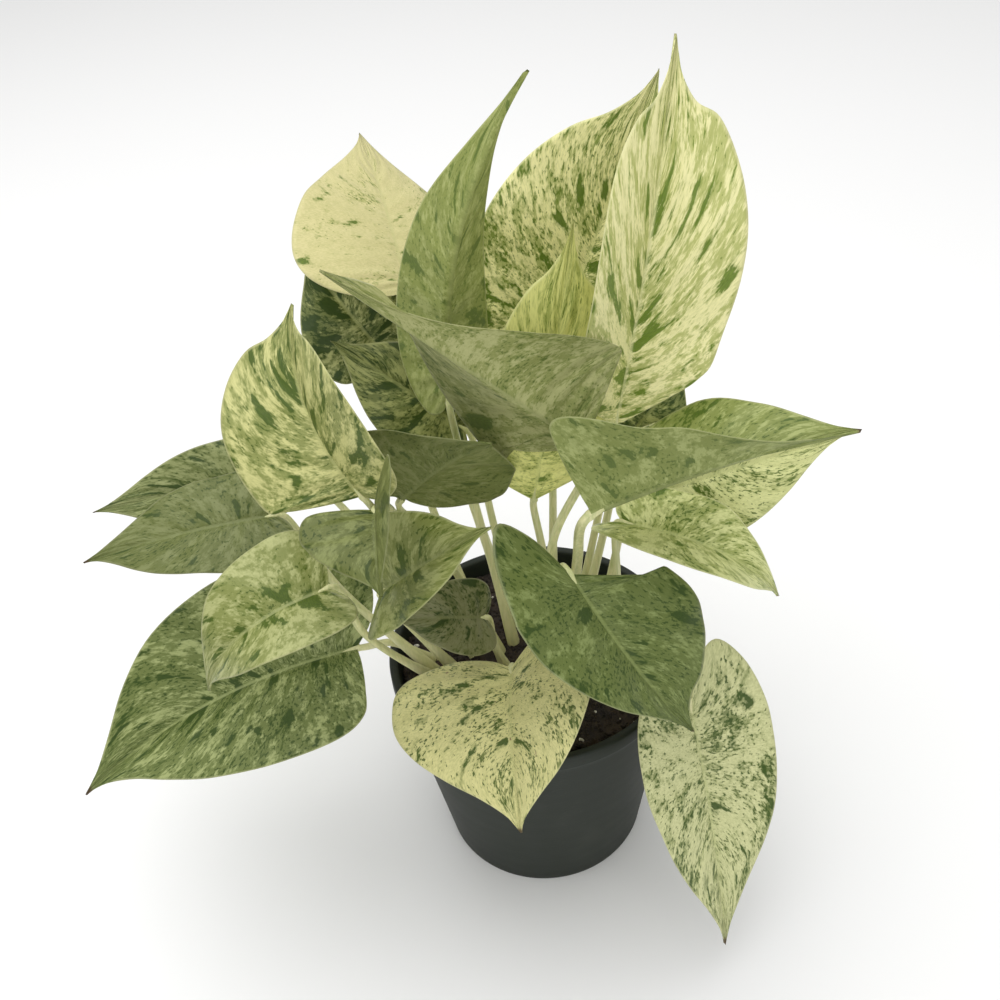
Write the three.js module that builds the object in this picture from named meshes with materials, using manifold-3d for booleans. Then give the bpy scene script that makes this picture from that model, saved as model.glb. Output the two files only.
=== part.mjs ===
// A variegated marble pothos in a small round plastic nursery pot.
// Units are millimetres, +Z is up, the pot stands on z = 0 with its axis on Z.
// The front of the plant looks towards -Y.
import * as THREE from 'three';
import { mergeVertices } from 'three/addons/utils/BufferGeometryUtils.js';
import Module from 'manifold-3d';

const wasm = await Module();
wasm.setup();

// ---- pot ----
const POT_HEIGHT = 105;
const RIM_RADIUS = 60;
const FOOT_RADIUS = 44;
const WALL = 1.8;
const RIM_WIDTH = 3.6;
const RIM_DROP = 7;
const FLOOR_Z = 2.5;
const FLOOR_THICKNESS = 2;
const FOOT_WIDTH = 4;
const PAD_RADIUS = 9;
const DRAIN_HOLES = 6;
const DRAIN_RADIUS = 3.5;
const DRAIN_RING = 28;
const DRAIN_STEPS = 16;
const LIP_STEP = 1.2;
const ROUND_STEPS = 48;

// ---- potting mix ----
const SOIL_EDGE_Z = 97;
const SOIL_MOUND = 2.5;
const SOIL_BUMP = 0.7;
const SOIL_WAVELENGTH = 27;
const SOIL_RINGS = 7;
const SOIL_STEPS = 28;
const GAP = 0.3;

// ---- stubs of the rooted vines ----
const STEM_RADIUS = 4;
const STEMS = [
  { name: 'stem_front', root: [2, -22], bend: [1, -25, 106], top: [-4, -29, 112] },
  { name: 'stem_left', root: [-22, -24], bend: [-26, -26, 106], top: [-34, -27, 110] },
  { name: 'stem_back', root: [-2, 36], bend: [-1, 37, 110], top: [4, 40, 122] },
];

// ---- leaf blades and leaf stalks ----
const BLADE_THICKNESS = 0.8;
const BLADE_COLUMNS = 3;
const WEDGE = 0.12;
const NECK_START = 0.68;
const NECK_END = 0.92;
const VEIN_SWEEP = 1.3;
const LEFT_WAVE_SHIFT = 1.7;
const STALK_SIDES = 6;
const STALK_STEPS = 8;
const STALK_TAPER = 0.72;
const STALK_BACK = 1;
const STEM_TAPER = 0.85;
const FOOT_LIFT = 0.8;

// ---- colours ----
const POT_COLOR = '#343a33';
const SOIL_COLOR = '#2a211b';
const STEM_COLOR = '#a9a77c';
const STALK_COLOR = '#b9bf83';
const LEAF_COLOR = '#b4c487';

// Radius of the soil surface, a gap inside the pot wall.
const SOIL_RADIUS = RIM_RADIUS - RIM_WIDTH - 1 - GAP - 0.2;

const toRadians = THREE.MathUtils.degToRad;

// One row per side vein, base to tip: where the vein leaves the midrib, where it meets the
// margin (share of the leaf length), and the margin's distance from the midrib (share of
// half the leaf width). The negative shares are the two rounded lobes behind the stalk.
const LEAF_ROWS = [
  [0.00, 0.00, 0.00],
  [0.02, -0.06, 0.20],
  [0.05, -0.09, 0.50],
  [0.09, -0.05, 0.78],
  [0.15, 0.06, 0.95],
  [0.23, 0.20, 1.00],
  [0.34, 0.37, 0.95],
  [0.47, 0.54, 0.79],
  [0.61, 0.69, 0.54],
  [0.74, 0.81, 0.28],
  [0.86, 0.90, 0.11],
  [0.94, 0.955, 0.04],
  [1.00, 1.00, 0.00],
];

// Every leaf: base (where the stalk meets the blade), tip, width, face (compass and height
// angle the upper side looks to, at base and tip; compass 0 is the front, 90 the right),
// fold (rise of the right and left half), root (foot of the stalk on the soil), bend (point
// the stalk passes through). Where a leaf differs from LEAF_USUAL it also gives: arch (rise
// of the midrib over the chord), sway (sideways bow), curl (extra turn of the margin), wave
// (height, count, phase), lobe (length of the right and left basal lobe; below 0 the base is
// wedge-shaped instead), belly (right and left; under 1 moves the widest place towards the
// tip), stalk (radius).
const LEAF_USUAL = {
  arch: 3, sway: 0, curl: -10, wave: [1.2, 2, 0.2], lobe: [1, 1], belly: [1, 1], stalk: 1.8,
};
const LEAVES = [
  // upright leaves at the back and centre
  { name: '01', base: [35, 0, 214], tip: [61, 42, 335], width: 64, face: [[34, 25], [30, 30]],
    fold: [34, 30], belly: [0.52, 0.6], lobe: [-1.7, -1], root: [20, 12], bend: [35, 15, 170] },
  { name: '02', base: [16, 50, 212], tip: [60, 68, 314], width: 84, face: [[-8, 30], [-5, 25]],
    fold: [16, 16], belly: [0.75, 0.75], lobe: [0.3, 0.3], root: [10, 26], bend: [14, 40, 160] },
  { name: '03', base: [4, -6, 188], tip: [24, 16, 287], width: 46, face: [[-5, 25], [0, 25]],
    fold: [-8, 14], belly: [0.7, 0.7], lobe: [-1.3, -1], root: [4, 6], bend: [7, 1, 145] },
  { name: '04', base: [20, -36, 234], tip: [-50, -56, 318], width: 74, face: [[225, -20], [176, 40]],
    fold: [78, 8], arch: 6, lobe: [-1, 0], sway: 2, belly: [1, 2.8], root: [4, -12], bend: [9, -30, 190] },
  { name: '05', base: [-23, 8, 226], tip: [11, 6, 342], width: 50, face: [[180, 5], [190, 5]],
    fold: [50, 50], sway: 9, curl: 0, belly: [1.3, 1.3], root: [-8, 8], bend: [-16, 10, 160] },
  { name: '06', base: [-35, 53, 245], tip: [-53, 151, 266], width: 84, face: [[90, 75], [90, 75]],
    fold: [-10, 12], lobe: [-1, 0.6], belly: [1.1, 1.3], root: [-8, 26], bend: [-32, 62, 200] },
  { name: '07', base: [-50, 62, 215], tip: [-76, 84, 247], width: 46, face: [[-10, 45], [-10, 45]],
    fold: [12, 12], root: [-22, 22], bend: [-40, 48, 160] },
  { name: '08', base: [-54, -32, 219], tip: [-72, 15, 267], width: 60, face: [[-12, 50], [-10, 50]],
    fold: [60, 4], sway: -7, belly: [0.8, 0.58], lobe: [1, -1.6], root: [-24, 12], bend: [-46, -6, 170] },
  { name: '09', base: [-19, 30, 196], tip: [-66, 45, 232], width: 44, face: [[-10, 50], [-10, 50]],
    fold: [12, 12], lobe: [0.3, 1], root: [-6, 18], bend: [-12, 28, 150] },
  { name: '10', base: [-43, -10, 199], tip: [-9, -40, 243], width: 67, face: [[170, 30], [170, 30]],
    fold: [12, 12], root: [-14, 4], bend: [-34, 2, 165] },
  // left side
  { name: '11', base: [-48, -50, 228], tip: [-47, -80, 219], width: 48, face: [[0, 50], [0, 45]],
    fold: [5, 75], lobe: [0.5, 0.5], root: [-26, 3], bend: [-46, -14, 194] },
  { name: '12', base: [-51, -50, 192], tip: [-12, -64, 229], width: 43, face: [[15, 50], [20, 50]],
    fold: [52, 6], lobe: [-0.5, 0], belly: [0.8, 0.9], root: [-33, -3], bend: [-53, -24, 160] },
  { name: '13', base: [-68, -50, 196], tip: [-114, -62, 164], width: 47, face: [[-15, 55], [-20, 45]],
    fold: [10, 40], lobe: [0.6, 0.6], arch: 13, belly: [1.15, 1.25], sway: 3, root: [-40, -8],
    bend: [-62, -30, 150] },
  { name: '14', base: [-71, -6, 119], tip: [-188, -33, 76], width: 90, face: [[0, 60], [-10, 55]],
    fold: [25, 35], arch: 4, sway: 8, lobe: [1, 0.2], root: [-42, 4], bend: [-58, -2, 116] },
  { name: '15', base: [-90, 40, 176], tip: [-174, 40, 164], width: 36, face: [[0, 50], [-5, 45]],
    fold: [12, 12], root: [-34, 18], bend: [-66, 32, 150] },
  { name: '16', base: [-92, 2, 186], tip: [-167, 0, 173], width: 42, face: [[-5, 72], [-5, 68]],
    fold: [10, 10], root: [-40, -4], bend: [-74, -2, 150] },
  // front
  { name: '17', base: [-10, -33, 129], tip: [-12, -92, 108], width: 94, face: [[-18, 60], [-18, 50]],
    fold: [0, 42], arch: 8, lobe: [1.6, 1.4], root: [-8, -14], bend: [-10, -24, 118] },
  { name: '18', base: [-18, -18, 142], tip: [-52, -26, 153], width: 30, face: [[0, 55], [0, 55]],
    fold: [10, 10], root: [-12, -6], bend: [-16, -12, 122] },
  { name: '19', base: [13, -50, 192], tip: [52, -76, 135], width: 66, face: [[25, 45], [30, 40]],
    fold: [28, 6], arch: 5, belly: [1.6, 0.5], lobe: [4, -2.4], sway: 4, root: [8, -10],
    bend: [12, -26, 162] },
  // right side
  { name: '20', base: [57, -42, 111], tip: [65, -94, 21], width: 62, face: [[15, 30], [15, 20]],
    fold: [30, 8], arch: 5, lobe: [1, 2.2], belly: [1.15, 1.15], root: [36, -20], bend: [50, -32, 112] },
  { name: '21', base: [20, -52, 221], tip: [104, -52, 244], width: 70, face: [[180, 50], [0, 75]],
    fold: [60, 25], arch: 2, lobe: [0.1, 0.2], belly: [1.7, 1], root: [14, -8],
    bend: [17, -31, 180], stalk: 2.2 },
  { name: '22', base: [43, 3, 177], tip: [118, 0, 200], width: 50, face: [[15, 42], [15, 42]],
    fold: [12, 12], lobe: [0.4, 0.4], root: [26, 2], bend: [35, 6, 145] },
  { name: '23', base: [35, -14, 181], tip: [92, -28, 149], width: 36, face: [[20, 60], [25, 35]],
    fold: [45, 4], arch: 18, root: [26, -10], bend: [33, -14, 145] },
  { name: '24', base: [41, 20, 192], tip: [66, 34, 213], width: 34, face: [[20, 40], [20, 40]],
    fold: [12, 12], lobe: [0.4, 0.4], root: [20, 20], bend: [32, 22, 160] },
].map((leaf) => ({ ...LEAF_USUAL, ...leaf }));

// ---- sub-part geometry ----

// Closed body from a list of points and a list of triangles given as point numbers.
function bodyFrom(points, triangles) {
  const geometry = new THREE.BufferGeometry();
  geometry.setAttribute('position', new THREE.Float32BufferAttribute(points.flat(), 3));
  geometry.setIndex(triangles.flat());
  geometry.computeVertexNormals();
  return geometry;
}

// Unit vector from a compass angle (0 front, 90 right) and a height angle.
function direction([compass, height]) {
  const c = toRadians(compass);
  const h = toRadians(height);
  return new THREE.Vector3(Math.sin(c) * Math.cos(h), -Math.cos(c) * Math.cos(h), Math.sin(h));
}

// Midrib point and the along, across and upward directions at a share of the leaf length.
function midribFrame(leaf, share) {
  const base = new THREE.Vector3(...leaf.base);
  const tip = new THREE.Vector3(...leaf.tip);
  const chord = tip.clone().sub(base);
  const faceBase = direction(leaf.face[0]);
  const faceTip = direction(leaf.face[1]);
  const middleFace = faceBase.clone().add(faceTip).normalize();
  const rise = middleFace.addScaledVector(chord, -middleFace.dot(chord) / chord.lengthSq()).normalize();
  const along = Math.min(Math.max(share, 0), 1);
  const point = base.clone().addScaledVector(chord, share);
  const sideways = chord.clone().normalize().cross(rise);
  const bow = rise.multiplyScalar(leaf.arch).addScaledVector(sideways, leaf.sway);
  point.addScaledVector(bow, 4 * along * (1 - along));
  const tangent = chord.clone().addScaledVector(bow, 4 * (1 - 2 * along)).normalize();
  if (share < 0) {
    point.copy(base).addScaledVector(tangent, share * chord.length());
  }
  const face = faceBase.clone().lerp(faceTip, along);
  const up = face.addScaledVector(tangent, -face.dot(tangent)).normalize();
  const across = tangent.clone().cross(up);
  return { point, tangent, up, across };
}

// Where a side vein meets the margin, with the leaf's own lobe and belly. A belly towards the
// tip fades out in the drawn-out neck of the tip.
function marginPlace(edge, spread, lobe, belly) {
  if (edge < 0) {
    return lobe < 0 ? -lobe * WEDGE * spread : edge * lobe;
  }
  if (belly >= 1) {
    return Math.pow(edge, belly);
  }
  const neck = Math.min(Math.max((edge - NECK_START) / (NECK_END - NECK_START), 0), 1);
  return Math.pow(edge, belly) * (1 - neck) + edge * neck;
}

// Point of the blade: row number, column (-BLADE_COLUMNS left margin to BLADE_COLUMNS right
// margin), and the distance below the upper side.
function bladePoint(leaf, row, column, depth) {
  const [rib, edgeUsual, spread] = LEAF_ROWS[row];
  const side = Math.sign(column);
  const half = side > 0 ? 0 : 1;
  const edge = marginPlace(edgeUsual, spread, leaf.lobe[half], leaf.belly[half]);
  const share = Math.abs(column) / BLADE_COLUMNS;
  const along = rib + (edge - rib) * Math.pow(share, VEIN_SWEEP);
  const frame = midribFrame(leaf, along);
  const reach = share * spread * leaf.width / 2;
  const fold = leaf.fold[half];
  const angle = toRadians(fold + leaf.curl * share / 2);
  const [waveHeight, waveCount, wavePhase] = leaf.wave;
  const ripple = waveHeight * share * share * spread *
    Math.sin(2 * Math.PI * (waveCount * along + wavePhase * (side > 0 ? 1 : LEFT_WAVE_SHIFT)));
  const lift = reach * Math.sin(angle) + ripple;
  const endAngle = toRadians(fold + leaf.curl * share) * side;
  const normal = frame.up.clone().multiplyScalar(Math.cos(endAngle))
    .addScaledVector(frame.across, -Math.sin(endAngle));
  const point = frame.point.clone()
    .addScaledVector(frame.across, side * reach * Math.cos(angle))
    .addScaledVector(frame.up, lift)
    .addScaledVector(normal, -depth);
  return point.toArray();
}

// Thin blade: an upper and a lower skin over the vein rows, joined round the margin.
function leafBlade(leaf) {
  const lastRow = LEAF_ROWS.length - 1;
  const rowWidth = 2 * BLADE_COLUMNS + 1;
  const points = [];
  const triangles = [];
  const skins = [0, BLADE_THICKNESS].map((depth) => {
    const start = points.length;
    points.push(bladePoint(leaf, 0, 0, depth));
    for (let row = 1; row < lastRow; row += 1) {
      for (let column = -BLADE_COLUMNS; column <= BLADE_COLUMNS; column += 1) {
        points.push(bladePoint(leaf, row, column, depth));
      }
    }
    points.push(bladePoint(leaf, lastRow, 0, depth));
    const end = points.length - 1;
    const at = (row, column) => start + 1 + (row - 1) * rowWidth + column;
    return { start, end, at };
  });
  skins.forEach(({ start, end, at }, skin) => {
    const add = (a, b, c) => triangles.push(skin === 0 ? [a, b, c] : [a, c, b]);
    for (let column = 0; column < rowWidth - 1; column += 1) {
      add(start, at(1, column + 1), at(1, column));
      for (let row = 1; row < lastRow - 1; row += 1) {
        add(at(row, column), at(row, column + 1), at(row + 1, column + 1));
        add(at(row, column), at(row + 1, column + 1), at(row + 1, column));
      }
      add(at(lastRow - 1, column), at(lastRow - 1, column + 1), end);
    }
  });
  const margin = ({ start, end, at }) => {
    const right = [];
    const left = [];
    for (let row = 1; row < lastRow; row += 1) {
      right.push(at(row, rowWidth - 1));
      left.unshift(at(row, 0));
    }
    return [start, ...right, end, ...left];
  };
  const upper = margin(skins[0]);
  const lower = margin(skins[1]);
  upper.forEach((point, i) => {
    const next = (i + 1) % upper.length;
    triangles.push([point, lower[i], lower[next]], [point, lower[next], upper[next]]);
  });
  return bodyFrom(points, triangles);
}

// Round body swept along a curve, thinning from its foot to its end.
function sweptStalk(curve, footRadius, endRadius) {
  const points = [];
  const triangles = [];
  let across = new THREE.Vector3(1, 0, 0);
  for (let step = 0; step <= STALK_STEPS; step += 1) {
    const share = step / STALK_STEPS;
    const centre = curve.getPointAt(share);
    const along = curve.getTangentAt(share);
    across = across.addScaledVector(along, -across.dot(along)).normalize();
    const other = along.clone().cross(across);
    const radius = footRadius + (endRadius - footRadius) * share;
    for (let side = 0; side < STALK_SIDES; side += 1) {
      const turn = 2 * Math.PI * side / STALK_SIDES;
      points.push(centre.clone()
        .addScaledVector(across, radius * Math.cos(turn))
        .addScaledVector(other, radius * Math.sin(turn))
        .toArray());
    }
  }
  for (let step = 0; step < STALK_STEPS; step += 1) {
    for (let side = 0; side < STALK_SIDES; side += 1) {
      const a = step * STALK_SIDES + side;
      const b = step * STALK_SIDES + (side + 1) % STALK_SIDES;
      triangles.push([a, b, b + STALK_SIDES], [a, b + STALK_SIDES, a + STALK_SIDES]);
    }
  }
  const last = STALK_STEPS * STALK_SIDES;
  for (let side = 1; side < STALK_SIDES - 1; side += 1) {
    triangles.push([0, side + 1, side], [last, last + side, last + side + 1]);
  }
  return bodyFrom(points, triangles);
}

// Height of the potting mix: a low mound with soft hollows.
function soilHeight(x, y) {
  const inward = 1 - (x * x + y * y) / (SOIL_RADIUS * SOIL_RADIUS);
  const turn = 2 * Math.PI / SOIL_WAVELENGTH;
  const hollows = Math.sin(turn * x + 1) * Math.cos(turn * y * 0.8 - 0.4);
  return SOIL_EDGE_Z + SOIL_MOUND * inward + SOIL_BUMP * hollows * inward;
}

// Curve that leaves the soil at its root, passes its bend and stops at its end.
function stalkCurve(root, bend, end, radius) {
  const foot = new THREE.Vector3(...root, soilHeight(...root) + GAP + radius * FOOT_LIFT);
  return new THREE.CatmullRomCurve3([foot, new THREE.Vector3(...bend), end], false, 'centripetal');
}

// Leaf stalk from the soil to just under the base of its blade.
function leafStalk(leaf) {
  const endRadius = leaf.stalk * STALK_TAPER;
  const { point, tangent, up } = midribFrame(leaf, 0);
  const end = point.addScaledVector(tangent, -STALK_BACK)
    .addScaledVector(up, -(BLADE_THICKNESS + GAP + endRadius));
  return sweptStalk(stalkCurve(leaf.root, leaf.bend, end, leaf.stalk), leaf.stalk, endRadius);
}

function vineStem(stem) {
  const curve = stalkCurve(stem.root, stem.bend, new THREE.Vector3(...stem.top), STEM_RADIUS);
  return sweptStalk(curve, STEM_RADIUS, STEM_RADIUS * STEM_TAPER);
}

// Turned pot wall: foot ring, tapering side, shallow lip band, and raised floor with a pad
// in its middle.
function potWall() {
  const lipZ = POT_HEIGHT - RIM_DROP;
  const innerRim = RIM_RADIUS - RIM_WIDTH;
  const profile = [
    [0, 0],
    [PAD_RADIUS, 0],
    [PAD_RADIUS + 1, FLOOR_Z],
    [FOOT_RADIUS - FOOT_WIDTH, FLOOR_Z],
    [FOOT_RADIUS - FOOT_WIDTH + 1, 0],
    [FOOT_RADIUS - 1, 0],
    [FOOT_RADIUS, 1],
    [RIM_RADIUS - LIP_STEP, lipZ],
    [RIM_RADIUS, lipZ + 1],
    [RIM_RADIUS, POT_HEIGHT - 1],
    [RIM_RADIUS - 1, POT_HEIGHT],
    [innerRim, POT_HEIGHT - 1],
    [innerRim - 1, lipZ],
    [FOOT_RADIUS - WALL, FLOOR_Z + FLOOR_THICKNESS],
    [0, FLOOR_Z + FLOOR_THICKNESS],
  ].map(([radius, z]) => new THREE.Vector2(radius, z));
  const wall = new THREE.LatheGeometry(profile, ROUND_STEPS);
  wall.rotateX(Math.PI / 2);
  return wall;
}

function solidFrom(geometry) {
  const bare = new THREE.BufferGeometry();
  bare.setAttribute('position', geometry.getAttribute('position'));
  bare.setIndex(geometry.getIndex());
  const merged = mergeVertices(bare, 1e-4);
  const mesh = new wasm.Mesh({
    numProp: 3,
    vertProperties: new Float32Array(merged.getAttribute('position').array),
    triVerts: new Uint32Array(merged.getIndex().array),
  });
  mesh.merge();
  return new wasm.Manifold(mesh);
}

function geometryFrom(solid) {
  const mesh = solid.getMesh();
  const geometry = new THREE.BufferGeometry();
  geometry.setAttribute('position', new THREE.BufferAttribute(new Float32Array(mesh.vertProperties), 3));
  geometry.setIndex(new THREE.BufferAttribute(new Uint32Array(mesh.triVerts), 1));
  geometry.computeVertexNormals();
  return geometry;
}

// Pot with its ring of drainage holes through the raised floor.
function nurseryPot() {
  let pot = solidFrom(potWall());
  const depth = FLOOR_THICKNESS + 2;
  for (let hole = 0; hole < DRAIN_HOLES; hole += 1) {
    const turn = 2 * Math.PI * (hole + 0.5) / DRAIN_HOLES;
    const drill = wasm.Manifold.cylinder(depth, DRAIN_RADIUS, DRAIN_RADIUS, DRAIN_STEPS)
      .translate([DRAIN_RING * Math.cos(turn), DRAIN_RING * Math.sin(turn), FLOOR_Z - 1]);
    pot = pot.subtract(drill);
  }
  return geometryFrom(pot);
}

// Potting mix filling the pot to just under the rim.
function pottingMix() {
  const bottomZ = FLOOR_Z + FLOOR_THICKNESS + GAP;
  const bottomRadius = FOOT_RADIUS - WALL - GAP;
  const points = [[0, 0, bottomZ]];
  const ring = (radius, height) => {
    const start = points.length;
    for (let step = 0; step < SOIL_STEPS; step += 1) {
      const turn = 2 * Math.PI * step / SOIL_STEPS;
      const x = radius * Math.cos(turn);
      const y = radius * Math.sin(turn);
      points.push([x, y, height ?? soilHeight(x, y)]);
    }
    return start;
  };
  const rings = [ring(bottomRadius, bottomZ)];
  for (let count = SOIL_RINGS; count > 0; count -= 1) {
    rings.push(ring(SOIL_RADIUS * count / SOIL_RINGS));
  }
  const centre = points.length;
  points.push([0, 0, soilHeight(0, 0)]);
  const triangles = [];
  for (let step = 0; step < SOIL_STEPS; step += 1) {
    const next = (step + 1) % SOIL_STEPS;
    triangles.push([0, rings[0] + next, rings[0] + step]);
    for (let i = 0; i < rings.length - 1; i += 1) {
      triangles.push([rings[i] + step, rings[i] + next, rings[i + 1] + next]);
      triangles.push([rings[i] + step, rings[i + 1] + next, rings[i + 1] + step]);
    }
    const last = rings[rings.length - 1];
    triangles.push([last + step, last + next, centre]);
  }
  return bodyFrom(points, triangles);
}

// ---- assembly ----
const group = new THREE.Group();
group.name = 'potted_pothos';

function addPart(name, geometry, color, roughness) {
  const material = new THREE.MeshStandardMaterial({ color, roughness, metalness: 0 });
  const mesh = new THREE.Mesh(geometry, material);
  mesh.name = name;
  group.add(mesh);
}

addPart('pot', nurseryPot(), POT_COLOR, 0.5);
addPart('soil', pottingMix(), SOIL_COLOR, 0.95);
for (const stem of STEMS) {
  addPart(stem.name, vineStem(stem), STEM_COLOR, 0.6);
}
for (const leaf of LEAVES) {
  addPart(`leaf_${leaf.name}`, leafBlade(leaf), LEAF_COLOR, 0.45);
  addPart(`stalk_${leaf.name}`, leafStalk(leaf), STALK_COLOR, 0.5);
}

export default group;
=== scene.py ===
"""Marble pothos in a round nursery pot: leaf blades, stalks, vine stubs, potting mix and pot.

Lengths in the design tables are millimetres; every mesh is written in metres.
"""
import math

import bmesh
import bpy
import numpy as np
from mathutils import Matrix, Vector, noise


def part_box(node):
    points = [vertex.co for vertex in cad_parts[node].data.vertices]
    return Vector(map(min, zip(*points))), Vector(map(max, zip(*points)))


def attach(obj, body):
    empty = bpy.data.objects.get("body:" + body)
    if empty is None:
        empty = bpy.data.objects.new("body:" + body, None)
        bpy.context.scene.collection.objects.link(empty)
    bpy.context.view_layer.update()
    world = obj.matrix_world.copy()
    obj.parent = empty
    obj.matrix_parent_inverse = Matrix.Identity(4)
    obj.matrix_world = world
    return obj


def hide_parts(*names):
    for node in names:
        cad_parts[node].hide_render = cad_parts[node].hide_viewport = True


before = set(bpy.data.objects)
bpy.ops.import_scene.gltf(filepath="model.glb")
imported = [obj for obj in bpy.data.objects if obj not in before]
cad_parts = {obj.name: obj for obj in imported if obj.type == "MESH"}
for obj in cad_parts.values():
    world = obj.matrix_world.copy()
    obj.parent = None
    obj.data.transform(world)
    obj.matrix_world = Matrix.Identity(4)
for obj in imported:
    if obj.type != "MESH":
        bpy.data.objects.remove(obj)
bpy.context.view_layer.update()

bl_info = {
    "name": "Marble pothos",
    "version": (1, 0, 0),
    "blender": (4, 5, 0),
    "location": "View3D > Sidebar > Pothos",
    "description": "Builds a potted marble pothos piece by piece",
    "category": "Object",
}

MM = 0.001
BODY = "root"

# ---- pot and potting mix, as in the solids ----
FOOT_RADIUS = 44.0
RIM_WIDTH = 3.6
RIM_DROP = 7.0
LIP_STEP = 1.2
INNER_STEP = 1.0
LINE_TURN = 1.9  # radians of the moulded lines per millimetre of height
WALL = 1.8
FLOOR_Z = 2.5
FLOOR_THICKNESS = 2.0
FOOT_WIDTH = 4.0
PAD_RADIUS = 9.0
DRAIN_HOLES = 6
DRAIN_RADIUS = 3.5
DRAIN_RING = 28.0
SOIL_EDGE_Z = 97.0
SOIL_MOUND = 2.5
SOIL_BUMP = 0.7
SOIL_WAVELENGTH = 27.0
SOIL_SLACK = 0.2
SOIL_RINGS = 60
SOIL_STEPS = 160
ROOT_DEPTH = 2.0
GAP = 0.3
POT_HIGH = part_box("pot")[1]
SOIL_RADIUS = POT_HIGH.x / MM - RIM_WIDTH - INNER_STEP - GAP - SOIL_SLACK

# ---- leaves ----
# One row per side vein, base to tip: where the vein leaves the midrib, where it meets the
# margin (share of the leaf length), and the margin's distance from the midrib (share of half
# the leaf width). The negative shares are the two lobes behind the stalk.
LEAF_ROWS = np.array([
    [0.00, 0.00, 0.00],
    [0.02, -0.06, 0.20],
    [0.05, -0.09, 0.50],
    [0.09, -0.05, 0.78],
    [0.15, 0.06, 0.95],
    [0.23, 0.20, 1.00],
    [0.34, 0.37, 0.95],
    [0.47, 0.54, 0.79],
    [0.61, 0.69, 0.54],
    [0.74, 0.81, 0.28],
    [0.86, 0.90, 0.11],
    [0.94, 0.955, 0.04],
    [1.00, 1.00, 0.00],
])
WEDGE = 0.12
NECK_START = 0.68
NECK_END = 0.92
VEIN_SPACING = 9.0
VEIN_SWEEP = 1.3
LEFT_WAVE_SHIFT = 1.7
# shift of the marbling from leaf to leaf, across the veins and in depth, and between halves
LEAF_SHIFT = 57.0
LEAF_DEPTH = 11.0
HALF_GAP = 2.0
LEAF_USUAL = dict(
    arch=3, sway=0, curl=-10, wave=(1.2, 2, 0.2), lobe=(1, 1), belly=(1, 1), stalk=1.8)

# ---- leaf colours ----
WARMTH = (1.0, 0.97, 0.84)
YOUNG_HAZE = (0.33, 0.39, 0.095)
OLD_HAZE = (0.100, 0.148, 0.038)
RIB_COLOUR = (0.42, 0.5, 0.2)
MARGIN_COLOUR = (0.6, 0.62, 0.4)
UNDER_COLOUR = (0.17, 0.22, 0.10)
SPOT_COLOUR = "#7c5a48"
SCORCH_COLOUR = "#5b4530"


def tint(cream, haze, speck, patch, deep, flare=0.0, spots=0.0, tip=0.0, tone=1.0):
    """Colouring of one leaf: cream ground, share of soft green haze, of small specks and of
    large patches, depth of the greens, patches gathered along the midrib (flare), brown
    spots, brown tip and lightness (tone), which is painted light and shade: below 1 for a
    leaf lying in shade, above 1 for a leaf in full light."""
    return dict(cream=cream, haze=haze, speck=speck, patch=patch, deep=deep, flare=flare,
                spots=spots, tip=tip, tone=tone)
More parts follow.
